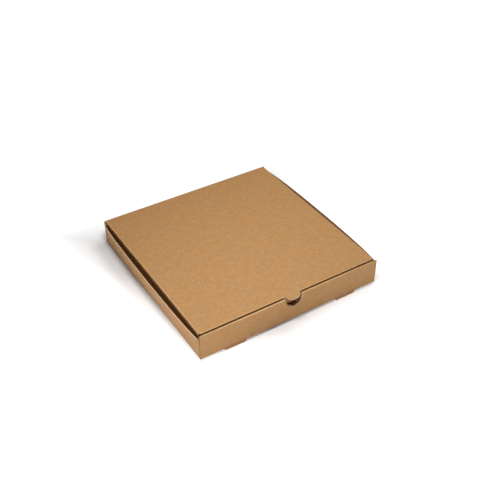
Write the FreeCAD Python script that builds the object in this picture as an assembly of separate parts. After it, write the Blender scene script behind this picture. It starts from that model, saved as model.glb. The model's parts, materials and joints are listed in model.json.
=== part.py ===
import FreeCAD, Part
import math
import os

# A folded pizza box of brown micro-flute board, cut from one sheet and closed.
# X runs along the front wall, Y from the front to the rear crease, and Z up. All sizes are in millimetres.
# The sheet is modelled folded: base, side walls with their ears, back wall and rolled front wall are one
# solid, the tray. The lid hangs on the rear crease and is the second solid, because it swings.

V = FreeCAD.Vector

# Board
board = 1.3                 # thickness of the board, and outer radius of a right-angled crease
layer_gap = 0.15            # air between layers that lie on each other

# Tray
width = 304.0               # outside of the side walls at the base
depth = 308.6               # outside of the front wall to outside of the back wall
height = 42.3               # underside of the base to the top of the closed lid
side_height = 36.0          # underside of the base to the cut edge of the side walls
wall_corner = 1.0           # rounding of the top corners of the front and back walls

# The side walls lean out a little at their ends and bow out between them, the right one further
end_lean = 1.0              # lean of the cut edge at the corners
bow_left = 4.6              # further lean of the left wall's cut edge half way along
bow_right = 7.5             # the same for the right wall

# Ears of the side walls, folded inwards behind the front and back walls
ear_length = 72.0
ear_height = 35.0
ear_taper = 12.0            # how much shorter an ear is at its top
ear_corner = 6.0

# Feet: cut out of the base, they stay in the plane of the front wall and leave the slots for the tabs
foot_spacing = 191.6        # between the middles of the two feet
foot_root = 38.4            # width at the crease
foot_tip = 31.6
foot_reach = 4.4            # from the crease to the tip, and the width of the slot
foot_corner = 0.9

# Locking tabs of the inner front panel, pushed down into the slots
tab_play = 0.6              # air between a tab and each end of its slot
tab_chamfer = 2.0           # lead-in at the corners of a tab

# Thumb notch in the rolled front wall, and the tongue of the lid that lies over it
thumb_x = 2.0               # middle of both, right of the middle of the box
notch_radius = 14.5
notch_sink = 3.0            # middle of the notch's round below the top of the wall
tongue_half_width = 12.4
tongue_reach = 10.8         # from the lid's front edge to the tip of the tongue

# Lid
lid_side_gap = 0.9          # air between a dust flap and the side wall, if the lid sat in the middle
lid_shift = 0.6             # how far right of the tray's middle the lid sits
lid_front_gap = 1.6         # air between the tuck flap and the rolled front wall
hinge_gap = 0.25            # air between the lid and the bead of the rear crease
tuck_depth = 30.0           # top of the lid to the lower edge of the tuck flap
tuck_taper = 7.0            # how much narrower each end of the tuck flap is at its lower edge
tuck_corner = 8.0
tuck_swing_room = 0.6       # what the tuck flap's lean leaves over as it swings past the front wall
dust_depth = 36.0           # top of the lid to the lower edge of a dust flap
dust_front_taper = 10.0
dust_rear_taper = 6.0
dust_corner = 5.0
flap_gap = 0.4              # air between neighbouring flaps of the lid

# Planes that the pieces share
half_width = width / 2
front = -depth / 2
back = depth / 2
front_inside = front + board                        # inner face of the outer front panel
roll_inner_front = front + 2 * board + 2 * layer_gap
roll_back = roll_inner_front + board                # inner face of the rolled wall
ear_front = front + board + layer_gap
ear_back = back - board - layer_gap
foot_tip_z = board / 2 - foot_reach
slot_back = front + board / 2 + foot_reach
hinge_y = back - board / 2
hinge_z = height - board / 2
lid_half_width = half_width - board - lid_side_gap
lid_front = roll_back + lid_front_gap
tuck_half_width = lid_half_width - board - flap_gap
tuck_lean = tuck_depth ** 2 / (2 * (hinge_y - lid_front)) + tuck_swing_room
tongue_tip = lid_front - tongue_reach
lid_rear = back - board - hinge_gap

# The part's origin is under the middle of its outline, at the tips of the feet
origin_shift = V((bow_left - bow_right) / 2, -(tongue_tip + back) / 2, -foot_tip_z)


def line(start, end):
    return Part.LineSegment(start, end).toShape()


def quarter_round(start, centre, end):
    """Quarter circle from start to end about centre."""
    spoke = (start - centre) + (end - centre)
    middle = centre + spoke.normalize() * (start - centre).Length
    return Part.Arc(start, middle, end).toShape()


def rounded_outline(corners):
    """Closed wire through corners, each a (point, radius) pair, with an arc at each radius above 0."""
    cuts = []
    for index, (corner, radius) in enumerate(corners):
        before = (corners[index - 1][0] - corner).normalize()
        after = (corners[(index + 1) % len(corners)][0] - corner).normalize()
        if radius <= 0:
            cuts.append((corner, corner, corner))
            continue
        half_angle = before.getAngle(after) / 2
        reach = radius / math.tan(half_angle)
        to_centre = (before + after).normalize()
        middle = corner + to_centre * (radius / math.sin(half_angle) - radius)
        cuts.append((corner + before * reach, middle, corner + after * reach))
    edges = []
    for index, (start, middle, end) in enumerate(cuts):
        if (end - start).Length > 1e-6:
            edges.append(Part.Arc(start, middle, end).toShape())
        next_start = cuts[(index + 1) % len(cuts)][0]
        edges.append(line(end, next_start))
    return Part.Wire(edges)


def sheet(outline, thickness):
    """Flat piece of board: a closed wire, raised by the vector thickness."""
    return Part.Face(outline).extrude(thickness)


def strip(edges, from_x, to_x):
    """Folded strip of board: a closed section in the YZ plane, drawn out along X."""
    section = Part.Face(Part.Wire(edges))
    section.translate(V(from_x, 0, 0))
    return section.extrude(V(to_x - from_x, 0, 0))


def mirrored(shape):
    """Mirror image of a shape on the right, for the left."""
    return shape.mirror(V(0, 0, 0), V(1, 0, 0))


def both_sides(shape):
    """The shape on the right, and its mirror image on the left."""
    return [shape, mirrored(shape)]


def tray_strip():
    """Rolled front wall, base and back wall, which are one strip of board from front to back."""
    def p(y, z):
        return V(0, y, z)
    tuck_top = height - board
    inner_bottom = board + layer_gap
    edges = [
        line(p(roll_inner_front, inner_bottom), p(roll_inner_front, tuck_top)),
        line(p(roll_inner_front, tuck_top), p(front_inside, tuck_top)),
        line(p(front_inside, tuck_top), p(front_inside, board)),
        line(p(front_inside, board), p(back - board, board)),
        line(p(back - board, board), p(back - board, hinge_z)),
        Part.Arc(p(back - board, hinge_z), p(hinge_y, height), p(back, hinge_z)).toShape(),
        line(p(back, hinge_z), p(back, board)),
        quarter_round(p(back, board), p(back - board, board), p(back - board, 0)),
        line(p(back - board, 0), p(front_inside, 0)),
        quarter_round(p(front_inside, 0), p(front_inside, board), p(front, board)),
        line(p(front, board), p(front, tuck_top)),
        quarter_round(p(front, tuck_top), p(front_inside, tuck_top), p(front_inside, height)),
        line(p(front_inside, height), p(roll_inner_front, height)),
        quarter_round(p(roll_inner_front, height), p(roll_inner_front, tuck_top), p(roll_back, tuck_top)),
        line(p(roll_back, tuck_top), p(roll_back, inner_bottom)),
        line(p(roll_back, inner_bottom), p(roll_inner_front, inner_bottom)),
    ]
    folded = strip(edges, -half_width, half_width)
    seen_from_front = rounded_outline([
        (V(-half_width, front, 0), 0),
        (V(half_width, front, 0), 0),
        (V(half_width, front, height), wall_corner),
        (V(-half_width, front, height), wall_corner),
    ])
    return folded.common(sheet(seen_from_front, V(0, depth, 0)))


def side_edge_room():
    """What the strip gives up along the sides of the base, where the side creases are."""
    return Part.makeBox(board, depth - 2 * board, board, V(half_width - board, front_inside, 0))


def side_crease():
    """Quarter-round crease between the base and the right side wall."""
    centre = V(half_width - board, front_inside, board)
    foot = centre + V(0, 0, -board)
    wall = centre + V(board, 0, 0)
    section = Part.Face(Part.Wire([line(centre, foot), quarter_round(foot, centre, wall), line(wall, centre)]))
    return section.extrude(V(0, depth - 2 * board, 0))


def bowed(start, end, offset):
    """Edge from start to end that rises quickly to a lean of offset along X and stays near it."""
    along = end - start
    fullness = offset / 0.93
    poles = [
        start,
        start + along * 0.06 + V(fullness, 0, 0),
        start + along * 0.5 + V(1.15 * fullness, 0, 0),
        start + along * 0.94 + V(fullness, 0, 0),
        end,
    ]
    curve = Part.BezierCurve()
    curve.setPoles(poles)
    return curve.toShape()


def side_section(z, lean, offset):
    """Level section through the right side wall and its two ears, at height z."""
    outer = half_width + lean
    inner = outer - board
    ear_end = half_width - ear_length

    def p(x, y):
        return V(x, y, z)
    front_turn = p(inner, ear_front + board)
    back_turn = p(inner, ear_back - board)
    outer_front = p(outer, ear_front + board)
    outer_back = p(outer, ear_back - board)
    side_out = bowed(outer_front, outer_back, offset) if offset else line(outer_front, outer_back)
    side_in = bowed(back_turn, front_turn, offset) if offset else line(back_turn, front_turn)
    return Part.Wire([
        line(p(ear_end, ear_front), p(inner, ear_front)),
        quarter_round(p(inner, ear_front), front_turn, outer_front),
        side_out,
        quarter_round(outer_back, back_turn, p(inner, ear_back)),
        line(p(inner, ear_back), p(ear_end, ear_back)),
        line(p(ear_end, ear_back), p(ear_end, ear_back - board)),
        line(p(ear_end, ear_back - board), back_turn),
        side_in,
        line(front_turn, p(ear_end, ear_front + board)),
        line(p(ear_end, ear_front + board), p(ear_end, ear_front)),
    ])


def side_wall(bow):
    """Right side wall with its ears: a strip that stands on the side crease and leans out to its top."""
    wall = Part.makeLoft([
        side_section(board, 0, 0),
        side_section(side_height, end_lean, bow),
    ], True, True)
    root = half_width - board
    ear_end = half_width - ear_length
    beyond = half_width + 3 * (end_lean + bow)
    ear_shape = rounded_outline([
        (V(ear_end, front, board + layer_gap), ear_corner),
        (V(root, front, board + layer_gap), 0),
        (V(root, front, board), 0),
        (V(beyond, front, board), 0),
        (V(beyond, front, side_height), 0),
        (V(root, front, side_height), 0),
        (V(root - board, front, ear_height), 0),
        (V(ear_end + ear_taper, front, ear_height), ear_corner),
    ])
    return wall.common(sheet(ear_shape, V(0, depth, 0)))


def foot(middle):
    """Foot in the plane of the front wall, square at the crease where the board stays flat."""
    outline = rounded_outline([
        (V(middle - foot_root / 2, front, board), 0),
        (V(middle - foot_tip / 2, front, foot_tip_z), foot_corner),
        (V(middle + foot_tip / 2, front, foot_tip_z), foot_corner),
        (V(middle + foot_root / 2, front, board), 0),
    ])
    return sheet(outline, V(0, board, 0))


def slot(middle):
    """Slot that a foot leaves in the base, as wide at the crease as the foot is."""
    outline = rounded_outline([
        (V(middle - foot_root / 2, front_inside, 0), 0),
        (V(middle + foot_root / 2, front_inside, 0), 0),
        (V(middle + foot_tip / 2, slot_back, 0), foot_corner),
        (V(middle - foot_tip / 2, slot_back, 0), foot_corner),
    ])
    return sheet(outline, V(0, 0, board))


def locking_tab(middle):
    """Tab of the inner front panel that stands in a slot, flush with the underside of the base."""
    half_tab = foot_tip / 2 - tab_play
    top = board + 2 * layer_gap
    outline = rounded_outline([
        (V(middle - half_tab, roll_inner_front, top), 0),
        (V(middle - half_tab, roll_inner_front, tab_chamfer / 2), 0),
        (V(middle - half_tab + tab_chamfer, roll_inner_front, 0), 0),
        (V(middle + half_tab - tab_chamfer, roll_inner_front, 0), 0),
        (V(middle + half_tab, roll_inner_front, tab_chamfer / 2), 0),
        (V(middle + half_tab, roll_inner_front, top), 0),
    ])
    return sheet(outline, V(0, board, 0))


def thumb_notch():
    """Opening through the rolled wall: a round bottom and straight sides up to the top."""
    centre = V(thumb_x, front - board, height - notch_sink)
    left = centre + V(-notch_radius, 0, 0)
    right = centre + V(notch_radius, 0, 0)
    above = V(0, 0, notch_sink + board)
    outline = Part.Wire([
        Part.Arc(left, centre + V(0, 0, -notch_radius), right).toShape(),
        line(right, right + above),
        line(right + above, left + above),
        line(left + above, left),
    ])
    return sheet(outline, V(0, roll_back - front + 2 * board, 0))


def tray():
    """Base, walls, ears and rolled front wall."""
    foot_middles = [-foot_spacing / 2, foot_spacing / 2]
    body = tray_strip()
    body = body.cut(both_sides(side_edge_room()))
    body = body.cut([slot(middle) for middle in foot_middles])
    additions = both_sides(side_crease()) + [side_wall(bow_right), mirrored(side_wall(bow_left))]
    additions += [foot(middle) for middle in foot_middles]
    additions += [locking_tab(middle) for middle in foot_middles]
    body = body.fuse(additions)
    return body.cut(thumb_notch())


def tongue_outline(root, forward):
    """Round outline of the tongue, a circle's segment that reaches forward from the crease at root."""
    left = root - V(tongue_half_width, 0, 0)
    right = root + V(tongue_half_width, 0, 0)
    tip = root + forward * tongue_reach
    back_off = forward * (-board)
    return Part.Wire([
        Part.Arc(left, tip, right).toShape(),
        line(right, right + back_off),
        line(right + back_off, left + back_off),
        line(left + back_off, left),
    ])


def lid_panels():
    """Top panel and tuck flap, folded from one strip, with the flap leaning inwards."""
    def p(y, z):
        return V(0, y, z)
    under = height - board
    flap_bottom = height - tuck_depth
    edges = [
        line(p(lid_front + tuck_lean, flap_bottom), p(lid_front, under)),
        quarter_round(p(lid_front, under), p(lid_front + board, under), p(lid_front + board, height)),
        line(p(lid_front + board, height), p(lid_rear, height)),
        line(p(lid_rear, height), p(lid_rear, under)),
        line(p(lid_rear, under), p(lid_front + board, under)),
        line(p(lid_front + board, under), p(lid_front + board + tuck_lean, flap_bottom)),
        line(p(lid_front + board + tuck_lean, flap_bottom), p(lid_front + tuck_lean, flap_bottom)),
    ]
    folded = strip(edges, -lid_half_width + board, lid_half_width - board)
    flap_room = rounded_outline([
        (V(-tuck_half_width, lid_front, height), 0),
        (V(-tuck_half_width + tuck_taper, lid_front, flap_bottom), tuck_corner),
        (V(tuck_half_width - tuck_taper, lid_front, flap_bottom), tuck_corner),
        (V(tuck_half_width, lid_front, height), 0),
    ])
    flap = folded.common(sheet(flap_room, V(0, board + tuck_lean, 0)))
    crease_line = V(thumb_x - lid_shift, lid_front - board, height)
    tongue_hole = sheet(tongue_outline(crease_line, V(0, 0, -1)), V(0, tuck_lean + 3 * board, 0))
    panel = folded.common(Part.makeBox(width, depth, board, V(-half_width, lid_front + board, under)))
    return panel.fuse(flap.cut(tongue_hole))


def dust_flap():
    """Right side crease of the lid and the flap that hangs down inside the side wall."""
    under = height - board
    lower = height - dust_depth
    flap_front = lid_front + board + flap_gap
    flap_back = ear_back - board - flap_gap
    plane_x = lid_half_width - board
    centre = V(plane_x, lid_front + board, under)
    top = centre + V(0, 0, board)
    side = centre + V(board, 0, 0)
    section = Part.Face(Part.Wire([line(centre, side), quarter_round(side, centre, top), line(top, centre)]))
    crease = section.extrude(V(0, lid_rear - centre.y, 0))
    outline = rounded_outline([
        (V(plane_x, flap_front, under), 0),
        (V(plane_x, flap_front + dust_front_taper, lower), dust_corner),
        (V(plane_x, flap_back - dust_rear_taper, lower), dust_corner),
        (V(plane_x, flap_back, under), 0),
    ])
    return crease.fuse(sheet(outline, V(board, 0, 0)))


def lid():
    """Top panel with its tuck flap, two dust flaps and the tongue cut out of the tuck flap."""
    root = V(thumb_x - lid_shift, lid_front, height)
    tongue = sheet(tongue_outline(root, V(0, -1, 0)), V(0, 0, -board))
    folded = lid_panels().fuse([tongue] + both_sides(dust_flap()))
    folded.translate(V(lid_shift, 0, 0))
    return folded


def finish(shape):
    """One clean solid in the part's own frame."""
    solid = shape.removeSplitter().Solids[0]
    solid.translate(origin_shift)
    return solid


os.makedirs("parts", exist_ok=True)
for name, shape in {"tray": tray(), "lid": lid()}.items():
    piece = finish(shape)
    box = piece.BoundBox
    print(name, "solids", len(shape.Solids), "valid", piece.isValid(), "volume %.0f" % piece.Volume,
          "x %.2f %.2f" % (box.XMin, box.XMax), "y %.2f %.2f" % (box.YMin, box.YMax),
          "z %.2f %.2f" % (box.ZMin, box.ZMax))
    piece.exportStep("parts/%s.step" % name)
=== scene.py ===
# %% [markdown]
# # A closed pizza box of brown micro-flute board
#
# The real box is one sheet of thin corrugated board, cut with a steel rule, creased and folded by hand. This
# lesson takes the folded sheet as it was constructed, two solids that meet at the rear crease, and dresses
# it: kraft paper outside and inside, cut edges where the flutes show between the two liners, and a strip of
# board bent round the rear crease. The first cell loads the imported parts. They are the fixed frame, in
# metres, and every later piece takes its place from them.

# %% Load the imported box
import bmesh
import bpy
import json
import math
import numpy as np
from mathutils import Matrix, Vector


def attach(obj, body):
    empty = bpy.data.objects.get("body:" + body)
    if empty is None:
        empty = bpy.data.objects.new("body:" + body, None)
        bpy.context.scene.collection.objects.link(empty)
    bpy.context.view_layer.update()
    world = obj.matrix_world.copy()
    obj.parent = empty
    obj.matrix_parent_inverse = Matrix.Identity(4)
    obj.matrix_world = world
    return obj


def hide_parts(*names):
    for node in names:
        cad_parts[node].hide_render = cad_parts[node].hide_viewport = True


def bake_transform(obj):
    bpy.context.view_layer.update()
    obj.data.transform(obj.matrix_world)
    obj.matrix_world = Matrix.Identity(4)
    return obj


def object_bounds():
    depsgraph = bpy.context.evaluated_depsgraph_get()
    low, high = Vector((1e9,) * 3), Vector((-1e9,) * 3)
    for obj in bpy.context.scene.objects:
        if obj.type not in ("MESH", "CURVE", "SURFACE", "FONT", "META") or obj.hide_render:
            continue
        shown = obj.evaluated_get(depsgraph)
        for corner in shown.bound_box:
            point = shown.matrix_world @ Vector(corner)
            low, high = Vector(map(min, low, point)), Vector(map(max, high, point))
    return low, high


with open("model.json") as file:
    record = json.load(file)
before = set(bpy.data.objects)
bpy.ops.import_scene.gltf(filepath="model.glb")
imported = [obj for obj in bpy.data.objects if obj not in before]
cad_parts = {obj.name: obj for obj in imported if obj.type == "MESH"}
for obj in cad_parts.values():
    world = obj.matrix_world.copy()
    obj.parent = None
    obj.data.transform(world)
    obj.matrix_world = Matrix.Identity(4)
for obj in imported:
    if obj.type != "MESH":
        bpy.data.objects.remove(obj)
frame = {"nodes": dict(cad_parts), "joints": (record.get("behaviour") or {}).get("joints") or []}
cad_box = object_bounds()
MM = 0.001
print("box of the parts, mm:", [[round(value / MM, 2) for value in corner] for corner in cad_box])

# %% [markdown]
# ## The camera
#
# A photograph of a box fixes its camera: the six outer corners give the direction, the distance and the lens
# together. Here the camera looks down at about 39 degrees from in front of the left corner, through a long
# lens, so the edges converge only a little. A camera that is aimed with to_track_quat needs no rotation
# numbers that nobody can read: it is placed by its angles and its distance from the point that it looks at.

# %% Aim the camera
FOCAL_PIXELS = 770.5
FRAME_PIXELS = 500
AZIMUTH = math.radians(-32.37)
ELEVATION = math.radians(38.60)
DISTANCE = 1236.9 * MM
LOOK_AT = Vector((31.85, 14.9, 3.75)) * MM

camera_data = bpy.data.cameras.new("camera")
camera_data.sensor_width = 36.0
camera_data.lens = camera_data.sensor_width * FOCAL_PIXELS / FRAME_PIXELS
camera_data.clip_start = 0.05
camera = bpy.data.objects.new("camera", camera_data)
bpy.context.scene.collection.objects.link(camera)
towards_camera = Vector((
    math.sin(AZIMUTH) * math.cos(ELEVATION),
    -math.cos(AZIMUTH) * math.cos(ELEVATION),
    math.sin(ELEVATION),
))
camera.location = LOOK_AT + towards_camera * DISTANCE
camera.rotation_mode = "QUATERNION"
camera.rotation_quaternion = (-towards_camera).to_track_quat("-Z", "Y")
bpy.context.scene.camera = camera
print("lens, mm:", round(camera_data.lens, 2))

# %% [markdown]
# ## Floor and light
#
# Every material here is a tree of nodes, and the same few blocks return in all of them. They come first as
# small functions: an empty material, one Math node, a value carried over from one range to another, and the
# three axes of a vector.

# %% Small blocks for materials
def new_material(name):
    """A material with an empty node tree: returns it with its nodes, its links and its shader."""
    material = bpy.data.materials.new(name)
    material.use_nodes = True
    nodes = material.node_tree.nodes
    nodes.clear()
    shader = nodes.new("ShaderNodeBsdfPrincipled")
    output = nodes.new("ShaderNodeOutputMaterial")
    material.node_tree.links.new(shader.outputs["BSDF"], output.inputs["Surface"])
    return material, nodes, material.node_tree.links, shader


def math_node(nodes, links, operation, first, second=0.0, third=0.0):
    """One Math node, whose inputs are numbers or sockets."""
    node = nodes.new("ShaderNodeMath")
    node.operation = operation
    for socket, value in zip(node.inputs, (first, second, third)):
        if isinstance(value, (int, float)):
            socket.default_value = value
        else:
            links.new(value, socket)
    return node.outputs[0]


def mapped(nodes, links, value, from_range, to_range):
    """Value carried over from one range to another and held at its ends."""
    node = nodes.new("ShaderNodeMapRange")
    sockets = ("From Min", "From Max", "To Min", "To Max")
    for name, number in zip(sockets, (*from_range, *to_range)):
        node.inputs[name].default_value = number
    links.new(value, node.inputs["Value"])
    return node.outputs["Result"]


def axes(nodes, links, vector):
    """The X, Y and Z of a vector, as sockets."""
    node = nodes.new("ShaderNodeSeparateXYZ")
    links.new(vector, node.inputs["Vector"])
    return node.outputs


# %% [markdown]
# The box stands on its two front feet and on the crease under its back wall, so on level ground it leans
# back by less than a degree. The box keeps its frame here, and the floor gets that small slope instead. It
# lies a hair below the feet, so that the two surfaces don't flicker through each other.

# %% Lay the floor
FOOT_LINE_Y = -150.5 * MM
REAR_EDGE_Y = 155.5 * MM
BASE_UNDERSIDE = 3.75 * MM
FLOOR_CLEAR = 0.02 * MM
HALF_FLOOR = 4.0

floor_slope = BASE_UNDERSIDE / (REAR_EDGE_Y - FOOT_LINE_Y)
floor_corners = [(x * HALF_FLOOR, y * HALF_FLOOR) for x, y in ((-1, -1), (1, -1), (1, 1), (-1, 1))]
floor_mesh = bpy.data.meshes.new("floor")
floor_mesh.from_pydata(
    [(x, y, (y - FOOT_LINE_Y) * floor_slope - FLOOR_CLEAR) for x, y in floor_corners],
    [],
    [(0, 1, 2, 3)],
)
floor = bpy.data.objects.new("floor", floor_mesh)
bpy.context.scene.collection.objects.link(floor)
print("floor slope, degrees:", round(math.degrees(math.atan(floor_slope)), 2))

# %% [markdown]
# In the photograph the floor is pure white, and such a floor is what lights the walls of a low box: lamps
# high above hardly reach them. So the floor glows a little by itself. The left wall is brightest at its front
# end, so the glow grows towards the front left, and less towards the front right. Close to the box it stays
# low, or the walls would wash out, and further off it rises until the floor is white on all sides. The glow
# is tied to places on the floor, so it is the same from every view.

# %% Let the floor glow
FLOOR_WHITE = (0.86, 0.86, 0.86, 1)
FLOOR_ROUGHNESS = 0.9
FRONT_LEFT = (-0.86, -0.51, 0.0)
FRONT_RIGHT = (0.80, -0.60, 0.0)
# Each glow: the distances in metres between which it changes, then its strength at both.
GLOW_LEFT = (0.105, 0.32), (0.12, 1.35)
GLOW_RIGHT = (0.06, 0.22), (0.0, 0.38)
GLOW_AROUND = (0.165, 0.30), (0.0, 0.98)
GLOW_MOST = 1.05
GLOW_OUTER = (0.30, 0.60), (0.0, 0.4)

floor_material, floor_nodes, floor_links, floor_shader = new_material("floor_white")
floor_place = floor_nodes.new("ShaderNodeTexCoord").outputs["Object"]


def floor_math(operation, first, second=0.0):
    """One Math node of the floor."""
    return math_node(floor_nodes, floor_links, operation, first, second)


def towards(direction):
    """How far a point of the floor lies in a direction from the middle of the box."""
    node = floor_nodes.new("ShaderNodeVectorMath")
    node.operation = "DOT_PRODUCT"
    node.inputs[1].default_value = direction
    floor_links.new(floor_place, node.inputs[0])
    return node.outputs["Value"]


def from_box():
    """How far a point of the floor lies from the middle of the box, measured square like the box."""
    x, y, _ = axes(floor_nodes, floor_links, floor_place)
    return floor_math("MAXIMUM", floor_math("ABSOLUTE", x), floor_math("ABSOLUTE", y))


left, right, around, outer = (
    mapped(floor_nodes, floor_links, distance, *glow)
    for distance, glow in (
        (towards(FRONT_LEFT), GLOW_LEFT),
        (towards(FRONT_RIGHT), GLOW_RIGHT),
        (from_box(), GLOW_AROUND),
        (from_box(), GLOW_OUTER),
    )
)
near_glow = floor_math("MINIMUM", floor_math("ADD", floor_math("ADD", left, right), around), GLOW_MOST)
floor_links.new(floor_math("ADD", near_glow, outer), floor_shader.inputs["Emission Strength"])
floor_shader.inputs["Emission Color"].default_value = (1, 1, 1, 1)
floor_shader.inputs["Base Color"].default_value = FLOOR_WHITE
floor_shader.inputs["Roughness"].default_value = FLOOR_ROUGHNESS
floor_mesh.materials.append(floor_material)
print("glow at most:", round(GLOW_MOST + GLOW_OUTER[1][1], 2))

# %% [markdown]
# Two soft lamps hang high over the box, one near its front left corner and one near the right, so the lid is
# brightest at the front left and every gap stays dark. The right lamp is wider, and its shadows are softer.
# The world around is nearly black, because light from the sides would fill the gaps.

# %% Hang the lamps
LAMPS = {
    "left_lamp": {"place": (-0.165, -0.20, 0.60), "aim": (-0.11, -0.12, 0.0), "size": 0.18, "power": 2.55},
    "right_lamp": {"place": (0.26, 0.08, 0.66), "aim": (0.15, 0.05, 0.0), "size": 0.35, "power": 2.18},
}
WORLD_LIGHT = 0.02


def soft_lamp(name, place, aim, size, power):
    """Hangs a square area lamp at place that faces aim."""
    data = bpy.data.lights.new(name, "AREA")
    data.shape = "SQUARE"
    data.size = size
    data.energy = power
    lamp = bpy.data.objects.new(name, data)
    lamp.location = place
    lamp.rotation_mode = "QUATERNION"
    lamp.rotation_quaternion = (Vector(aim) - Vector(place)).to_track_quat("-Z", "Y")
    bpy.context.scene.collection.objects.link(lamp)


for lamp_name, facts in LAMPS.items():
    soft_lamp(lamp_name, **facts)
world = bpy.data.worlds.new("studio")
world.use_nodes = True
background = world.node_tree.nodes["Background"]
background.inputs["Color"].default_value = (1, 1, 1, 1)
background.inputs["Strength"].default_value = WORLD_LIGHT
bpy.context.scene.world = world
bpy.context.scene.view_settings.view_transform = "Standard"
print("lamps, watts:", {lamp_name: facts["power"] for lamp_name, facts in LAMPS.items()})

# %% [markdown]
# ## Kraft paper
#
# Brown kraft is unbleached: its colour comes from the pulp, so it varies in soft clouds where the fibres
# settled more thickly, with a fine grain of single fibres and a few dark shives. A picture of paper could be
# laid over the box, but noise in the material is sharper from close by and never repeats. Two frames are
# used. The clouds read Object coordinates, so they run on round a fold. The fibres and the faint ridges of
# the flutes read a map called sheet, where u runs along the flutes and v across them, because both follow
# the board through its folds.

# %% Blocks that the paper materials share
def noise(nodes, links, vector, scale, detail, roughness=0.5):
    """Noise value between 0 and 1 on the given coordinates, with scale in cycles per metre."""
    node = nodes.new("ShaderNodeTexNoise")
    node.inputs["Scale"].default_value = scale
    node.inputs["Detail"].default_value = detail
    node.inputs["Roughness"].default_value = roughness
    links.new(vector, node.inputs["Vector"])
    return node.outputs["Fac"]


def mixed(nodes, links, factor, first, second, blend="MIX"):
    """Mix of two colours, each a colour or a socket."""
    node = nodes.new("ShaderNodeMix")
    node.data_type = "RGBA"
    node.blend_type = blend
    for socket, value in zip((node.inputs[0], node.inputs[6], node.inputs[7]), (factor, first, second)):
        if isinstance(value, (int, float)):
            socket.default_value = value
        elif isinstance(value, tuple):
            socket.default_value = (*value, 1)
        else:
            links.new(value, socket)
    return node.outputs[2]


def stretched(nodes, links, vector, scale):
    """Coordinates with each axis scaled by itself."""
    node = nodes.new("ShaderNodeMapping")
    node.inputs["Scale"].default_value = scale
    links.new(vector, node.inputs["Vector"])
    return node.outputs["Vector"]


def bumped(nodes, links, shader, height, distance):
    """Gives a shader relief from a height value; distance is the relief's depth in metres."""
    bump = nodes.new("ShaderNodeBump")
    bump.inputs["Distance"].default_value = distance
    links.new(height, bump.inputs["Height"])
    links.new(bump.outputs["Normal"], shader.inputs["Normal"])


# %% [markdown]
# The pulp's colour has four layers: broad clouds that lean to red or to yellow, finer clouds and fibres that
# only change the shade, a speckle of about 3 mm, and the shives, which show where a noise reaches its highest
# levels. Stretching the coordinates of a noise turns round grains into fibres.

# %% Colour of the pulp
# Each noise: cycles per metre, detail, and roughness where it isn't 0.5.
BROAD_CLOUDS = (42.0, 2.0)
CLOUDS = (110.0, 5.0, 0.62)
SPECKLE = (330.0, 2.0, 0.7)
FIBRES = (1900.0, 3.0, 0.6)
SHIVES = (900.0, 1.0)
FIBRE_STRETCH = (1.0, 0.22, 1.0)
SHIVE_STRETCH = (0.5, 1.0, 1.0)
CLOUD_TINTS = (1.05, 0.97, 0.82), (0.95, 1.03, 1.20)
SPECKLE_TINTS = (0.84, 0.72, 0.58), (1.16, 1.28, 1.42)
CLOUD_SHADE = 0.34
FIBRE_SHADE = 0.16
SHIVE_LEVELS = (0.70, 0.78)
SHIVE_SHARE = 0.45
SHIVE_DARKNESS = (0.45, 0.45, 0.45)


def toned_by(colour, factors):
    """Colour with each channel multiplied by its own factor."""
    return tuple(value * factor for value, factor in zip(colour, factors))


def pulp_colour(nodes, links, colour, body, sheet, clouds, fibres):
    """Colour of kraft before any wear, from the body's and the sheet's coordinates."""
    shade = math_node(nodes, links, "MULTIPLY_ADD", clouds, CLOUD_SHADE, 1 - CLOUD_SHADE / 2)
    shade = math_node(nodes, links, "SUBTRACT", shade, FIBRE_SHADE / 2)
    shade = math_node(nodes, links, "MULTIPLY_ADD", fibres, FIBRE_SHADE, shade)
    grey = nodes.new("ShaderNodeCombineColor")
    for socket in grey.inputs:
        links.new(shade, socket)

    broad = noise(nodes, links, body, *BROAD_CLOUDS)
    toned = mixed(nodes, links, broad, *(toned_by(colour, tint) for tint in CLOUD_TINTS))
    toned = mixed(nodes, links, 1.0, toned, grey.outputs["Color"], "MULTIPLY")
    grain = mixed(nodes, links, noise(nodes, links, body, *SPECKLE), *SPECKLE_TINTS)
    toned = mixed(nodes, links, 1.0, toned, grain, "MULTIPLY")

    shives = noise(nodes, links, stretched(nodes, links, sheet, SHIVE_STRETCH), *SHIVES)
    spot = mapped(nodes, links, shives, SHIVE_LEVELS, (0.0, 1.0))
    spot = math_node(nodes, links, "MULTIPLY", spot, SHIVE_SHARE)
    return mixed(nodes, links, spot, toned, toned_by(colour, SHIVE_DARKNESS))


# %% [markdown]
# Folding stretches the liner over a crease, and the opened fibres look paler; on creases that face up the pale
# tone is also a painted highlight. Creases under the walls and at the back get a dark tone instead, painted
# shade, and so does the lowest edge of the walls. Faces carry the two kinds of crease as numbers, crease and
# shaded_crease, and the lowest edge is found by its height. The fibres break all of this up into patches.

# %% Painted highlight and shade of the paper
# The pale crease tone is partly a painted highlight; the dark tone is painted shade.
CREASE_TONE = (0.80, 0.52, 0.27)
PAINTED_SHADE_TONE = (0.14, 0.08, 0.04)
CREASE_PAINT_BY_FIBRES = 0.9
CREASE_PAINT_AT_LEAST = 0.45
LOW_EDGE_BEGINS = (2.6 * MM, 3.8 * MM)
LOW_EDGE_FADES = (4.8 * MM, 6.4 * MM)
LOW_EDGE_SHADE = 0.45


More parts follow.
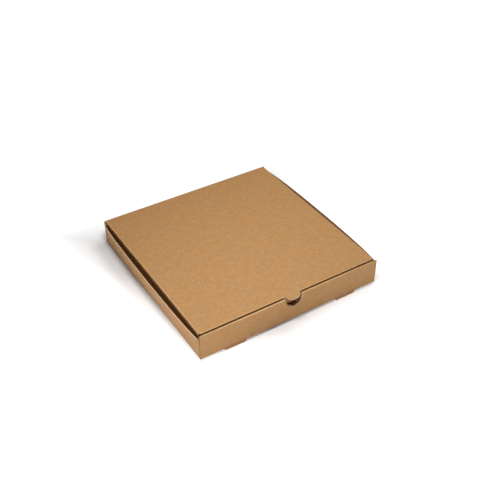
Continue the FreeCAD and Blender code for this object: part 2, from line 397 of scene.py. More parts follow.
def colour_with_painted_light(nodes, links, toned, body, fibres):
    """The colour with its creases and its low edge: a pale tone, partly painted highlight, and painted shade.
    """
    patchy = math_node(nodes, links, "MULTIPLY_ADD", fibres, CREASE_PAINT_BY_FIBRES, CREASE_PAINT_AT_LEAST)
    for attribute_name, tone in (("crease", CREASE_TONE), ("shaded_crease", PAINTED_SHADE_TONE)):
        attribute = nodes.new("ShaderNodeAttribute")
        attribute.attribute_name = attribute_name
        painted_light = math_node(nodes, links, "MULTIPLY", attribute.outputs["Fac"], patchy)
        toned = mixed(nodes, links, painted_light, toned, tone)
    # A band along the lowest edge of the walls gets painted shade.
    height = axes(nodes, links, body)["Z"]
    above = mapped(nodes, links, height, LOW_EDGE_BEGINS, (0.0, 1.0))
    under = mapped(nodes, links, height, LOW_EDGE_FADES, (LOW_EDGE_SHADE, 0.0))
    return mixed(nodes, links, math_node(nodes, links, "MULTIPLY", under, above), toned, PAINTED_SHADE_TONE)


# %% [markdown]
# Pressed kraft is nearly matt. Its relief is faint: the clouds are slight swellings, and the ridges of the
# flutes only just show through the liner. The inside liner is the same paper, darker.

# %% The two liners
FLUTE_PITCH = 3.3 * MM
KRAFT_OUTSIDE = (0.512, 0.274, 0.106)
KRAFT_INSIDE = (0.36, 0.20, 0.085)
RIDGE_RELIEF = 0.008
FIBRE_RELIEF = 0.035
CLOUD_RELIEF = 0.10
PAPER_ROUGHNESS = 0.60
CLOUD_ROUGHNESS = 0.18
PAPER_SPECULAR = 0.22


def kraft_paper(name, colour):
    """Kraft liner: clouds, fibres, dark shives, faint flute ridges, and painted highlight and shade at creases
    and the low edge.
    """
    material, nodes, links, shader = new_material(name)
    body = nodes.new("ShaderNodeTexCoord").outputs["Object"]
    uv_map = nodes.new("ShaderNodeUVMap")
    uv_map.uv_map = "sheet"
    sheet = uv_map.outputs["UV"]
    clouds = noise(nodes, links, body, *CLOUDS)
    fibres = noise(nodes, links, stretched(nodes, links, sheet, FIBRE_STRETCH), *FIBRES)

    toned = pulp_colour(nodes, links, colour, body, sheet, clouds, fibres)
    links.new(colour_with_painted_light(nodes, links, toned, body, fibres), shader.inputs["Base Color"])

    turns = math_node(nodes, links, "MULTIPLY", axes(nodes, links, sheet)["Y"], 2 * math.pi / FLUTE_PITCH)
    ridges = math_node(nodes, links, "SINE", turns)
    relief = math_node(nodes, links, "MULTIPLY", fibres, FIBRE_RELIEF)
    relief = math_node(nodes, links, "MULTIPLY_ADD", ridges, RIDGE_RELIEF, relief)
    relief = math_node(nodes, links, "MULTIPLY_ADD", clouds, CLOUD_RELIEF, relief)
    bumped(nodes, links, shader, relief, MM)

    gloss = math_node(nodes, links, "MULTIPLY_ADD", clouds, CLOUD_ROUGHNESS, PAPER_ROUGHNESS)
    links.new(gloss, shader.inputs["Roughness"])
    shader.inputs["Specular IOR Level"].default_value = PAPER_SPECULAR
    return material


outside_paper = kraft_paper("kraft_outside", KRAFT_OUTSIDE)
inside_paper = kraft_paper("kraft_inside", KRAFT_INSIDE)
print("nodes in a liner:", len(outside_paper.node_tree.nodes))

# %% [markdown]
# ## Paper at a cut edge
#
# Where the steel rule has cut the board, torn fibres stand up. They scatter more light than the pressed
# surface, so a fresh cut looks paler and matt. Behind the rims of the two liners the hollow flutes lie in
# shade, and get a darker brown: painted shade. Two other kinds of cut carry painted light. The ends of the
# front and back walls and the top of the right wall are painted dark, painted shade of the gaps beside them,
# and the round of the thumb notch and the tongue's edge are painted nearly white, a painted highlight. The
# four differ only in colour and contrast, so one function makes them, from fine noise.

# %% Four kinds of cut
CUT_FUZZ = (2600.0, 3.0, 0.7)
CUT_PATCHES = (240.0, 2.0)
CUT_RELIEF = 0.06 * MM
CUT_ROUGHNESS = 0.9
CUT_SPECULAR = 0.2


def cut_paper(name, colour, contrast):
    """Torn fibres: fine noise in the colour and in the relief."""
    material, nodes, links, shader = new_material(name)
    body = nodes.new("ShaderNodeTexCoord").outputs["Object"]
    fuzz = noise(nodes, links, body, *CUT_FUZZ)
    half_patches = math_node(nodes, links, "MULTIPLY", noise(nodes, links, body, *CUT_PATCHES), 0.5)
    shade = math_node(nodes, links, "MULTIPLY_ADD", fuzz, 0.5, half_patches)
    dark = tuple(value * (1 - contrast) for value in colour)
    light = tuple(min(1.0, value * (1 + contrast)) for value in colour)
    links.new(mixed(nodes, links, shade, dark, light), shader.inputs["Base Color"])
    bumped(nodes, links, shader, fuzz, CUT_RELIEF)
    shader.inputs["Roughness"].default_value = CUT_ROUGHNESS
    shader.inputs["Specular IOR Level"].default_value = CUT_SPECULAR
    return material


cut_edge = cut_paper("cut_edge", (0.82, 0.60, 0.42), 0.18)
flute_hollow = cut_paper("flute_hollow", (0.66, 0.45, 0.29), 0.2)
# Painted shade: the dark cut paper of the wall ends and the right wall's top.
shade_painted_cut = cut_paper("shade_painted_cut", (0.30, 0.18, 0.095), 0.2)
# Painted highlight: the near-white cut paper of the notch's round and the tongue's edge.
highlight_painted_cut = cut_paper("highlight_painted_cut", (0.93, 0.73, 0.56), 0.06)
PAPERS = [outside_paper, inside_paper, cut_edge, flute_hollow, shade_painted_cut, highlight_painted_cut]
OUTSIDE, INSIDE, CUT, HOLLOW, SHADE_CUT, HIGHLIGHT_CUT = range(len(PAPERS))
print("papers:", [paper.name for paper in PAPERS])

# %% [markdown]
# ## Reading the folded sheet
#
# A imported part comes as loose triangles. Welded together, they fall into regions that are joined by smooth
# edges and parted by sharp ones. The largest region is the outside liner, which runs over every fold. A
# region as wide as the board is thick is a cut edge, and the others are the inside liner. Sorting the faces
# by that rule keeps the paper right without naming a single face, and it still works when a size changes.
# Faces are kept in lists and dictionaries, which hold their order, because a set of faces is walked through
# in another order each time the script runs.

# %% Weld a copy and sort its faces
BOARD = 1.3 * MM
WELD = 0.001 * MM
SHARP = math.radians(35)
CUT_WIDTHS = (0.5 * BOARD, 1.04 * BOARD)
TINY = 1e-9


def merged_copy(node):
    """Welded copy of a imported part."""
    bm = bmesh.new()
    bm.from_mesh(frame["nodes"][node].data)
    bmesh.ops.remove_doubles(bm, verts=bm.verts, dist=WELD)
    bm.normal_update()
    return bm


def unique(items):
    """The items once each, in the order in which they first came."""
    return list(dict.fromkeys(items))


def connected(faces, allowed):
    """Groups of faces that reach each other over edges that allowed accepts."""
    waiting = dict.fromkeys(faces)
    groups = []
    while waiting:
        stack = [waiting.popitem()[0]]
        group = []
        while stack:
            face = stack.pop()
            group.append(face)
            for edge in filter(allowed, face.edges):
                for other in edge.link_faces:
                    if other in waiting:
                        del waiting[other]
                        stack.append(other)
        groups.append(group)
    return sorted(groups, key=lambda group: -sum(face.calc_area() for face in group))


def mean_width(group):
    """Twice the area over the outline's length: the width of a long narrow region."""
    inside = set(group)
    outline = sum(
        edge.calc_length() for face in group for edge in face.edges
        if any(other not in inside for other in edge.link_faces)
    )
    return 2 * sum(face.calc_area() for face in group) / max(outline, TINY)


# %% [markdown]
# The ends of the front and back walls lie in one plane with the side creases, so no sharp edge parts them.
# They are found by their place instead: upright to X, at the full width of the base, and round at the top
# corners.

# %% Find the ends of the walls
TRAY_MIDDLE_X = -1.45 * MM
HALF_WIDTH = 152.0 * MM
WALL_CORNER = 1.0 * MM
TOP = cad_box[1].z
ROLL_BACK = -147.6 * MM
BACK_INSIDE = 155.5 * MM
NEAR = 0.02 * MM
LEAST_SIDEWAYS = 0.02


def beyond_wall_end(point):
    """How far a point lies outside the ends of the front and back walls, in metres: about 0 on an end."""
    corner_z = TOP - WALL_CORNER
    from_middle = abs(point.x - TRAY_MIDDLE_X)
    if point.z <= corner_z:
        return from_middle - HALF_WIDTH
    return math.hypot(from_middle - (HALF_WIDTH - WALL_CORNER), point.z - corner_z) - WALL_CORNER


def is_wall_end(face):
    """Whether a face of the tray is part of a wall's cut end."""
    middle = face.calc_center_median()
    in_wall = middle.y < ROLL_BACK + NEAR or middle.y > BACK_INSIDE - NEAR
    if not in_wall or abs(face.normal.x) <= LEAST_SIDEWAYS:
        return False
    return all(abs(beyond_wall_end(vert.co)) < NEAR for vert in face.verts)


def sort_faces(bm):
    """Gives each face its paper, and returns the cut edges as groups of faces."""
    wall_ends = dict.fromkeys(filter(is_wall_end, bm.faces))
    rest = [face for face in bm.faces if face not in wall_ends]
    groups = connected(rest, lambda edge: edge.calc_face_angle(0.0) < SHARP)
    cuts = connected(wall_ends, lambda edge: True)
    for index, group in enumerate(groups):
        is_cut = CUT_WIDTHS[0] < mean_width(group) < CUT_WIDTHS[1]
        if is_cut:
            cuts.append(group)
        paper = CUT if is_cut else OUTSIDE if index == 0 else INSIDE
        for face in group:
            face.material_index = paper
    # The wall ends get the dark cut paper: painted shade.
    for face in wall_ends:
        face.material_index = SHADE_CUT
    return cuts


# %% [markdown]
# ## The rear crease
#
# Lid and tray are one sheet, so the board bends round the rear crease without a seam. The imported parts leave
# a thin gap there for the swing. Both copies are trimmed back a little, and a short strip of board of its
# own takes their place, bent like the crease.

# %% Copy the two parts, and how to trim them at the crease
joint = frame["joints"][0]
HINGE = Vector(joint["pos_m"])
WALL_TRIM = -0.9 * MM
LID_TRIM = -1.65 * MM


def trimmed(bm, faces, point, normal):
    """Cuts the faces with a plane, drops what lies on the normal's side, and closes the cut."""
    edges = unique(edge for face in faces for edge in face.edges)
    verts = unique(vert for edge in edges for vert in edge.verts)
    result = bmesh.ops.bisect_plane(
        bm, geom=[*faces, *edges, *verts], dist=NEAR / 100, plane_co=point, plane_no=normal, clear_outer=True,
    )
    rim = [item for item in result["geom_cut"] if isinstance(item, bmesh.types.BMEdge)]
    bmesh.ops.edgeloop_fill(bm, edges=rim)


lid_copy = merged_copy("lid")
tray_copy = merged_copy("tray")
lid_cuts = sort_faces(lid_copy)
tray_cuts = sort_faces(tray_copy)
print("cut edges:", len(lid_cuts), "in the lid,", len(tray_cuts), "in the tray")

# %% [markdown]
# ## Grooves at the cut edges
#
# Corrugated board is hollow between its liners. Each cut edge gets two thin rims, the liners, with a shallow
# groove between them. Insetting the whole region at once keeps the rims even round every bend of the edge. At
# a sharp corner an even inset runs far out to a point, so no vertex may go further than a short step, or
# leave the box of its part. The function waits here: the grooves are sunk only after the next step has read
# the edges.

# %% Shape of a groove
LINER = 0.24 * MM
GROOVE = 0.24 * MM
SMALL_EDGE = 3.0 * MM * MM
LONGEST_STEP = 0.60 * MM


def box_of(bm):
    """Lowest and highest corner of a copy."""
    points = np.array([vert.co for vert in bm.verts])
    return points.min(axis=0), points.max(axis=0)


def groove(bm, group, box):
    """Sinks the middle of a cut edge between two rims as thick as the liners, inside the box of the part."""
    if sum(face.calc_area() for face in group) < SMALL_EDGE:
        return
    before = [vert.co.copy() for vert in unique(vert for face in group for vert in face.verts)]
    bmesh.ops.inset_region(
        bm, faces=group, use_boundary=True, use_even_offset=True, thickness=LINER, depth=-GROOVE,
    )
    for vert in unique(vert for face in group for vert in face.verts):
        origin = min(before, key=lambda point: (point - vert.co).length_squared)
        step = vert.co - origin
        if step.length > LONGEST_STEP:
            vert.co = origin + step * (LONGEST_STEP / step.length)
        vert.co = [min(max(value, low), high) for value, low, high in zip(vert.co, *box)]
    # A cut with painted shade keeps it in its groove; the other grooves get the darker hollow paper, painted
    # shade.
    painted_light = group[0].material_index == SHADE_CUT
    for face in group:
        face.material_index = SHADE_CUT if painted_light else HOLLOW


# %% [markdown]
# ## The fluted paper
#
# Between the liners runs one sheet of paper in waves, 3.3 mm from crest to crest. Where a cut crosses the
# flutes, the wave shows in full. Where it runs along them, it is a straight line, and in between, as round
# the thumb notch, it is drawn out. One rule covers all three: the paper swings by the sine of the distance
# across the flutes. First each cut edge is reduced to its middle line. A ray from each side of the edge
# tells the long sides, which see each other across one thickness of board, from the short ends.

# %% Middle line of a cut edge
ONE_BOARD = (0.7 * BOARD, 1.3 * BOARD)
OWN_SIDE = 0.2 * BOARD
SAME_PLANE = 0.3 * BOARD
OTHER_LINE = 0.3 * BOARD
SHARE_SLACK = 0.01


def outline_edges(group):
    """Outline of a region as (edge, middle, inward direction, face normal)."""
    inside = set(group)
    found = []
    for face in group:
        for edge in face.edges:
            if all(other in inside for other in edge.link_faces):
                continue
            start, end = edge.verts
            middle = (start.co + end.co) / 2
            inward = face.normal.cross(end.co - start.co).normalized()
            if inward.dot(face.calc_center_median() - middle) < 0:
                inward.negate()
            found.append((edge, middle, inward, face.normal.copy()))
    return found


def long_sides(outline):
    """The edges of an outline whose opposite side is about one board away."""
    starts = np.array([edge.verts[0].co for edge, *_ in outline])
    ends = np.array([edge.verts[1].co for edge, *_ in outline])
    along = ends - starts
    kept = []
    for index, (edge, middle, inward, normal) in enumerate(outline):
        ray = np.array(inward)
        side = np.cross(np.array(normal), ray)
        offset = starts - np.array(middle)
        slope = along @ side
        missed = np.full(len(slope), -1.0)
        share = np.divide(-(offset @ side), slope, out=missed, where=np.abs(slope) > TINY)
        hit = offset + along * share[:, None]
        reach = hit @ ray
        apart = np.abs(hit @ np.array(normal))
        on_edge = (share > -SHARE_SLACK) & (share < 1 + SHARE_SLACK)
        seen = on_edge & (reach > OWN_SIDE) & (apart < SAME_PLANE)
        if seen.any() and ONE_BOARD[0] < reach[seen].min() < ONE_BOARD[1]:
            kept.append(outline[index])
    return kept


def chain_length(chain):
    """Length of a list of vertices."""
    return sum((start.co - end.co).length for start, end in zip(chain, chain[1:]))


def chains(sides):
    """Joins edges that share a corner into chains, the longest first: each is a list of vertices in order."""
    links = {}
    for edge, *_ in sides:
        for vert in edge.verts:
            links.setdefault(vert, []).append(edge)
    found = []
    left = {edge for edge, *_ in sides}
    ends = [vert for vert, edges in links.items() if len(edges) == 1]
    for start in ends + list(links):
        chain = [start]
        while True:
            step = next((edge for edge in links[chain[-1]] if edge in left), None)
            if step is None:
                break
            left.remove(step)
            chain.append(step.other_vert(chain[-1]))
        if len(chain) > 1:
            found.append(chain)
    return sorted(found, key=lambda chain: -chain_length(chain))


def middle_lines(group):
    """Lines half way between the liners: lists of (point, direction across the board, direction outwards)."""
    sides = long_sides(outline_edges(group))
    facts = {}
    for edge, _, inward, normal in sides:
        for vert in edge.verts:
            facts.setdefault(vert, []).append((inward, normal))
    lines = []
    for chain in chains(sides):
        line = []
        for vert in chain:
            across = sum((inward for inward, _ in facts[vert]), Vector()).normalized()
            outward = sum((normal for _, normal in facts[vert]), Vector()).normalized()
            line.append((vert.co + across * (BOARD / 2), across, outward))
        middle = line[len(line) // 2][0]
        if all((middle - point).length > OTHER_LINE for other in lines for point in spread(other)):
            lines.append(line)
    return lines


def spread(line):
    """Points along a line, no further apart than a quarter of the board."""
    points = []
    for (start, *_), (end, *_) in zip(line, line[1:]):
        count = max(1, math.ceil((end - start).length / (BOARD / 4)))
        points += [start.lerp(end, step / count) for step in range(count + 1)]
    return points


lid_lines = [line for group in lid_cuts for line in middle_lines(group)]
tray_lines = [line for group in tray_cuts for line in middle_lines(group)]
print("middle lines:", len(lid_lines), "in the lid,", len(tray_lines), "in the tray")

# %% [markdown]
# The waves themselves are a rule that repeats along a path, so Geometry Nodes make them. The input is the
# middle lines as plain edges. Each point carries three facts as attributes: the direction across the board,
# the direction outwards, and how far it lies across the flutes. The tree resamples the lines, swings each
# point by the sine, and sweeps a thin upright section along the result.

# %% Build the tree
RIBBON = 0.17 * MM
RIBBON_SINK = 0.03 * MM
STEPS_PER_WAVE = 9


def flute_tree(material):
    """Tree that turns lines with across, outward and sheet_v attributes into waved ribbons."""
    tree = bpy.data.node_groups.new("flute_ribbons", "GeometryNodeTree")
    tree.interface.new_socket("Geometry", in_out="INPUT", socket_type="NodeSocketGeometry")
    tree.interface.new_socket("Geometry", in_out="OUTPUT", socket_type="NodeSocketGeometry")
    sockets = {
        name: tree.interface.new_socket(name, in_out="INPUT", socket_type="NodeSocketFloat")
        for name in ("Pitch", "Swing", "Thickness", "Depth", "Sink", "Step")
    }
    nodes, links = tree.nodes, tree.links
    inputs = nodes.new("NodeGroupInput").outputs

    def attribute(name, kind):
        """Reads a named attribute of the lines."""
        node = nodes.new("GeometryNodeInputNamedAttribute")
        node.data_type = kind
        node.inputs["Name"].default_value = name
        return node.outputs["Attribute"]

    def calculation(operation, first, second):
        """One Math node of the tree."""
        return math_node(nodes, links, operation, first, second)

    def scaled(vector, factor):
        """A vector times a number."""
        node = nodes.new("ShaderNodeVectorMath")
        node.operation = "SCALE"
        links.new(vector, node.inputs[0])
        links.new(factor, node.inputs["Scale"])
        return node.outputs[0]

    curve = nodes.new("GeometryNodeMeshToCurve")
    links.new(inputs["Geometry"], curve.inputs["Mesh"])
    resample = nodes.new("GeometryNodeResampleCurve")
    resample.mode = "LENGTH"
    links.new(curve.outputs["Curve"], resample.inputs["Curve"])
    links.new(inputs["Step"], resample.inputs["Length"])

    turns = calculation("DIVIDE", attribute("sheet_v", "FLOAT"), inputs["Pitch"])
    wave = calculation("SINE", calculation("MULTIPLY", turns, 2 * math.pi), 0.0)
    outward = attribute("outward", "FLOAT_VECTOR")
    sideways = scaled(attribute("across", "FLOAT_VECTOR"), calculation("MULTIPLY", wave, inputs["Swing"]))
    lowest = calculation("MULTIPLY", inputs["Depth"], -0.5)
    lowered = scaled(outward, calculation("SUBTRACT", lowest, inputs["Sink"]))
    offset = nodes.new("ShaderNodeVectorMath")
    offset.operation = "ADD"
    links.new(sideways, offset.inputs[0])
    links.new(lowered, offset.inputs[1])
    moved = nodes.new("GeometryNodeSetPosition")
    links.new(resample.outputs["Curve"], moved.inputs["Geometry"])
    links.new(offset.outputs[0], moved.inputs["Offset"])

    upright = nodes.new("GeometryNodeSetCurveNormal")
    upright.mode = "FREE"
    links.new(moved.outputs["Geometry"], upright.inputs["Curve"])
    links.new(outward, upright.inputs["Normal"])
    section = nodes.new("GeometryNodeCurvePrimitiveQuadrilateral")
    links.new(inputs["Depth"], section.inputs["Width"])
    links.new(inputs["Thickness"], section.inputs["Height"])
    sweep = nodes.new("GeometryNodeCurveToMesh")
    sweep.inputs["Fill Caps"].default_value = True
    links.new(upright.outputs["Curve"], sweep.inputs["Curve"])
    links.new(section.outputs["Curve"], sweep.inputs["Profile Curve"])

    real = nodes.new("GeometryNodeRealizeInstances")
    links.new(sweep.outputs["Mesh"], real.inputs["Geometry"])
    painted = nodes.new("GeometryNodeSetMaterial")
    painted.inputs["Material"].default_value = material
    links.new(real.outputs["Geometry"], painted.inputs["Geometry"])
    links.new(painted.outputs["Geometry"], nodes.new("NodeGroupOutput").inputs["Geometry"])
    return tree, sockets


ribbon_tree, ribbon_sockets = flute_tree(cut_edge)
print("nodes in the tree:", len(ribbon_tree.nodes))

# %% [markdown]
# All the flutes of the sheet run one way, so in the folded box they stand upright in the side walls, the ears
# and the dust flaps, and run along X elsewhere. A line knows its family by its direction across the board,
# and in the ears also by their place.

# %% Sweep the ribbons
EAR_PLANES = ((-150.4 * MM, -149.0 * MM), (154.0 * MM, 155.4 * MM))
MOSTLY = 0.7


def across_flutes(point, side_family):
    """Distance across the flutes, at any bend of the sheet."""
    return point.x + point.y if side_family else point.y + point.z


def in_side_family(line):
    """Whether a line lies in a side wall, an ear or a dust flap."""
    point, across, _ = line[len(line) // 2]
    in_ear = any(low < point.y < high for low, high in EAR_PLANES) and abs(across.y) > MOSTLY
    return in_ear or abs(across.x) > MOSTLY


def carrier_of(name, lines):
    """Object of plain edges along the lines, whose points carry across, outward and sheet_v."""
    verts, edges, across, outward, sheet_v = [], [], [], [], []
    for line in lines:
        family = in_side_family(line)
        for index, (point, side, out) in enumerate(line):
            if index:
                edges.append((len(verts) - 1, len(verts)))
            verts.append(point)
            across.append(side)
            outward.append(out)
            sheet_v.append(across_flutes(point, family))
    mesh = bpy.data.meshes.new(name + "_lines")
    mesh.from_pydata(verts, edges, [])
    for key, values in {"across": across, "outward": outward}.items():
        layer = mesh.attributes.new(key, "FLOAT_VECTOR", "POINT")
        layer.data.foreach_set("vector", [number for vector in values for number in vector])
    mesh.attributes.new("sheet_v", "FLOAT", "POINT").data.foreach_set("value", sheet_v)
    carrier = bpy.data.objects.new(name + "_lines", mesh)
    bpy.context.scene.collection.objects.link(carrier)
    return carrier


def flute_ribbons(name, lines):
    """One mesh of waved ribbons for all the cut edges of a part."""
    carrier = carrier_of(name, lines)
    modifier = carrier.modifiers.new("flutes", "NODES")
    modifier.node_group = ribbon_tree
    sizes = {
        "Pitch": FLUTE_PITCH,
        "Swing": (BOARD - 2 * LINER - RIBBON) / 2,
        "Thickness": RIBBON,
        "Depth": GROOVE - RIBBON_SINK,
        "Sink": RIBBON_SINK,
        "Step": FLUTE_PITCH / STEPS_PER_WAVE,
    }
    for key, value in sizes.items():
        modifier[ribbon_sockets[key].identifier] = value
    bpy.context.view_layer.update()
    evaluated = carrier.evaluated_get(bpy.context.evaluated_depsgraph_get())
    swept = bpy.data.meshes.new_from_object(evaluated)
    carrier.modifiers.remove(modifier)
    bpy.data.objects.remove(carrier)
    bm = bmesh.new()
    bm.from_mesh(swept)
    bmesh.ops.recalc_face_normals(bm, faces=bm.faces)
    bm.to_mesh(swept)
    bm.free()
    ribbons = bpy.data.objects.new(name, swept)
    bpy.context.scene.collection.objects.link(ribbons)
    print(name, "faces:", len(swept.polygons))
    return ribbons


lid_flutes = flute_ribbons("lid_flutes", lid_lines)
tray_flutes = flute_ribbons("tray_flutes", tray_lines)

# %% [markdown]
# ## Finish the two parts of the sheet
#
# With the middle lines known, the cut edges can be changed. Each is sunk between its rims, and two of them
# get another paper by their place: the top of the right wall gets painted shade, and the round of the notch
# gets a painted highlight, as does the edge of the tongue that lies over it.

# %% Sink the grooves, and paint shade and light on two cuts
SHADED_RIM_X = 149.3 * MM
NOTCH_REACH = 20.0 * MM
NOTCH_CUT_Y = -150.0 * MM
NOTCH_FLOOR = 25.0 * MM


def paper_with_painted_light(face):
    """Paper of a face of a cut, by the place of its middle: painted shade on the right wall's top, a painted
    highlight at the notch.
    """
    x, y, z = face.calc_center_median()
    # The right wall's top gets painted shade.
    if x > SHADED_RIM_X:
        return SHADE_CUT
    # The notch's round and the tongue's edge get a painted highlight.
    if abs(x) < NOTCH_REACH and y < NOTCH_CUT_Y and z > NOTCH_FLOOR:
        return HIGHLIGHT_CUT
    return face.material_index


for copy, cuts in ((lid_copy, lid_cuts), (tray_copy, tray_cuts)):
    box = box_of(copy)
    for group in cuts:
        groove(copy, group, box)
    for face in copy.faces:
        if face.material_index in (CUT, HOLLOW):
            face.material_index = paper_with_painted_light(face)
    copy.normal_update()
    # The torn faces counted here carry the painted highlight.
    print("torn faces:", sum(1 for face in copy.faces if face.material_index == HIGHLIGHT_CUT))

# %% [markdown]
# Both copies are trimmed at the crease now. The photograph shows a pale line along the free rims of the lid.
# The level top is one region, so a band is parted from it by an inset, and gets the pale tone of a crease at
# less than half its strength: a painted highlight along the rims. The flat top of the roll gets the same. The
# flat faces are joined into one first, because an inset of many thin faces would fold over itself.

# %% Trim, and part a pale band
PALE_BAND = 1.1 * MM
BAND_END_Y = 152.0 * MM
STRAIGHT_UP = 0.9999


def flat_top(bm):
    """The level faces of the outside liner at the full height of the box."""
    return [
        face for face in bm.faces
        if face.material_index == OUTSIDE
        and face.normal.z > STRAIGHT_UP
        and face.calc_center_median().z > TOP - NEAR
    ]


def pale_band(bm):
    """Parts a band along the free rims of the lid's top from the rest of it, and returns its faces."""
    flat = bmesh.ops.dissolve_faces(bm, faces=flat_top(bm), use_verts=False)["region"]
    result = bmesh.ops.inset_region(
        bm, faces=flat, use_boundary=True, use_even_offset=True, thickness=PALE_BAND,
    )
    for face in result["faces"]:
        for vert in face.verts:
            vert.co.z = min(vert.co.z, TOP)
    return {face for face in result["faces"] if face.calc_center_median().y < BAND_END_Y}


trimmed(lid_copy, list(lid_copy.faces), HINGE + Vector((0, LID_TRIM, 0)), Vector((0, 1, 0)))
back_wall = [face for face in tray_copy.faces if all(vert.co.y > BACK_INSIDE - NEAR for vert in face.verts)]
trimmed(tray_copy, back_wall, HINGE + Vector((0, 0, WALL_TRIM)), Vector((0, 0, 1)))
# The band and the roll's flat top get a painted highlight.
lid_rim = pale_band(lid_copy)
roll_top = set(flat_top(tray_copy))
print("pale faces:", len(lid_rim), "in the lid,", len(roll_top), "in the tray")

# %% [markdown]
# The seam between the roll and the lid is wider in the photograph than in the construction, as if the closed
# lid had pushed the top of the roll's inner sheet forward. The visible roll leans that way, by one millimetre
# at its top and with a soft start. The lean reads only a point's depth and height, so the few points of the
# tongue's edge that lie over the roll's inner sheet move with it.

# %% Lean of the roll
ROLL_LEAN = 1.0 * MM
LEAN_FROM_Z = 40.5 * MM
LEAN_TO_Z = 44.5 * MM


def lean_roll(mesh):
    """Leans what lies in the depth of the roll's inner sheet to the front, more towards the top."""
    for vert in mesh.vertices:
        _, y, z = vert.co
        if ROLL_BACK - BOARD - NEAR < y < ROLL_BACK + NEAR and z > LEAN_FROM_Z:
            share = min(1.0, (z - LEAN_FROM_Z) / (LEAN_TO_Z - LEAN_FROM_Z))
            vert.co.y -= ROLL_LEAN * share * share * (3 - 2 * share)


# %% [markdown]
# Each face gets three facts for its paper: its place in the flat sheet, as a map, and how much it is a pale
# or a shaded crease. A crease is any face of the outside liner that is tilted to all three axes by more than
# the bow of the walls. Where it faces up, the stretched liner is pale, with a painted highlight. Where it
# faces down or back, it gets painted shade.

# %% Make the parts
CREASE_TILT = 0.960
PALE_SHARE = 0.40
FACES_UP = 0.5
FACES_DOWN = -0.2
FACES_BACK = 0.2


def sheet_place(point, normal):
    """Place in the flat sheet: along the flutes, then across them."""
    if abs(normal.z) > MOSTLY:
        return point.x, point.y
    if abs(normal.x) > MOSTLY:
        return point.z, point.y
    in_ear = any(low - NEAR < point.y < high + NEAR for low, high in EAR_PLANES)
    return (point.z, point.x) if in_ear else (point.x, point.z)


def open_edges(mesh):
    """Number of edges that don't join exactly two faces."""
    counts = {}
    for polygon in mesh.polygons:
        for key in polygon.edge_keys:
            counts[key] = counts.get(key, 0) + 1
    return sum(1 for count in counts.values() if count != 2)


def finished_piece(name, bm, paler=()):
    """Writes the maps, turns the copy into an object with its papers, and frees the copy."""
    bm.normal_update()
    crease = bm.faces.layers.float.new("crease")
    shaded_crease = bm.faces.layers.float.new("shaded_crease")
    sheet = bm.loops.layers.uv.new("sheet")
    for face in bm.faces:
        normal = face.normal
        bent = max(abs(value) for value in normal) < CREASE_TILT and face.material_index == OUTSIDE
        # Up-facing creases get a pale tone that is partly a painted highlight; down- and back-facing ones get
        # painted shade.
        shaded_bend = bent and (normal.z < FACES_DOWN or normal.y > FACES_BACK)
        face[crease] = PALE_SHARE if face in paler else float(bent and not shaded_bend and normal.z > FACES_UP)
        face[shaded_crease] = float(shaded_bend)
        for loop in face.loops:
            loop[sheet].uv = sheet_place(loop.vert.co, normal)
    mesh = bpy.data.meshes.new(name)
    bm.to_mesh(mesh)
    bm.free()
    lean_roll(mesh)
    for paper in PAPERS:
        mesh.materials.append(paper)
    piece = bpy.data.objects.new(name, mesh)
    bpy.context.scene.collection.objects.link(piece)
    print(name, "faces:", len(mesh.polygons), "open edges:", open_edges(mesh))
    return piece


lid_board = finished_piece("lid_board", lid_copy, lid_rim)
tray_board = finished_piece("tray_board", tray_copy, roll_top)

# %% [markdown]
# The tray's ribbons lean with the roll. Those in the ends of the walls and along the top of the right wall
# get the painted shade of the rims beside them.

# %% Match the tray's ribbons
SHADED_RIBBON = 1


def in_shaded_rim(place):
    """Whether a place lies in the end of the front or back wall, or along the right wall's top."""
    x, y, _ = place
    in_end = abs(x - TRAY_MIDDLE_X) > HALF_WIDTH - BOARD and (y < ROLL_BACK or y > BACK_INSIDE)
    return in_end or x > SHADED_RIM_X


lean_roll(tray_flutes.data)
tray_flutes.data.materials.append(shade_painted_cut)
for polygon in tray_flutes.data.polygons:
    if in_shaded_rim(polygon.center):
        polygon.material_index = SHADED_RIBBON
print("worn ribbon faces:", sum(polygon.material_index for polygon in tray_flutes.data.polygons))

# %% [markdown]
# ## Bend the crease strip
#
# The strip's section is an L with a round outer corner, drawn once and carried along X. It has a few extra
# points near the bend. Its ends follow the rounded corner of the back wall and the side crease of the lid.

# %% Make the strip
HALF_BOARD = BOARD / 2
BEND_STEPS = 6
FLAT_SHARES = (0.25, 0.5, 0.75, 1.0)
LID_CREASE_X = 148.5 * MM
LID_MIDDLE_X = -0.85 * MM


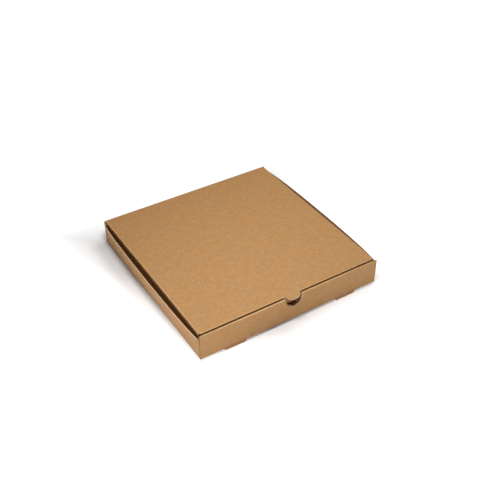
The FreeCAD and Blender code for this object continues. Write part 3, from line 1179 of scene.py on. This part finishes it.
def crease_section():
    """Outside and inside points of the strip's section, as (y, z) from the hinge."""
    bend = [math.pi / 2 * step / BEND_STEPS for step in range(BEND_STEPS + 1)]
    outer = [(HALF_BOARD, WALL_TRIM)]
    outer += [(HALF_BOARD * math.cos(angle), HALF_BOARD * math.sin(angle)) for angle in bend]
    outer += [(LID_TRIM * share, HALF_BOARD) for share in FLAT_SHARES]
    back = -HALF_BOARD - LID_TRIM
    inner = [(LID_TRIM + back * share, -HALF_BOARD) for share in (0, *FLAT_SHARES)]
    inner += [(-HALF_BOARD, WALL_TRIM)]
    return outer, inner


def strip_end(sign, y, z):
    """X of the strip's right (sign 1) or left (sign -1) end at a point of its section."""
    height = HINGE.z + z
    if y < -HALF_BOARD - NEAR:
        rise = height - (TOP - BOARD)
        return LID_MIDDLE_X + sign * (LID_CREASE_X + math.sqrt(max(0.0, BOARD ** 2 - rise ** 2)))
    rise = max(0.0, height - (TOP - WALL_CORNER))
    corner = math.sqrt(max(0.0, WALL_CORNER ** 2 - rise ** 2))
    return TRAY_MIDDLE_X + sign * (HALF_WIDTH - WALL_CORNER + corner)


outer_points, inner_points = crease_section()
section = outer_points + inner_points
crease_mesh = bmesh.new()
ends = [
    [crease_mesh.verts.new((strip_end(sign, y, z), HINGE.y + y, HINGE.z + z)) for y, z in section]
    for sign in (-1, 1)
]
left_end, right_end = ends
for index in range(len(section)):
    after = (index + 1) % len(section)
    face = crease_mesh.faces.new((left_end[index], right_end[index], right_end[after], left_end[after]))
    face.material_index = OUTSIDE if index < len(outer_points) - 1 else INSIDE
for end in ends:
    crease_mesh.faces.new(end).material_index = CUT
bmesh.ops.recalc_face_normals(crease_mesh, faces=crease_mesh.faces)
rear_crease = finished_piece("rear_crease", crease_mesh)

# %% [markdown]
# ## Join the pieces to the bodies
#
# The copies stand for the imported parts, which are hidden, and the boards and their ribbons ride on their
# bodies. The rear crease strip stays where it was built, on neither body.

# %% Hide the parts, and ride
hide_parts("lid")
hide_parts("tray")
for piece in (lid_board, lid_flutes):
    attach(piece, "lid_body")
for piece in (tray_board, tray_flutes):
    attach(piece, "tray_body")
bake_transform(rear_crease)
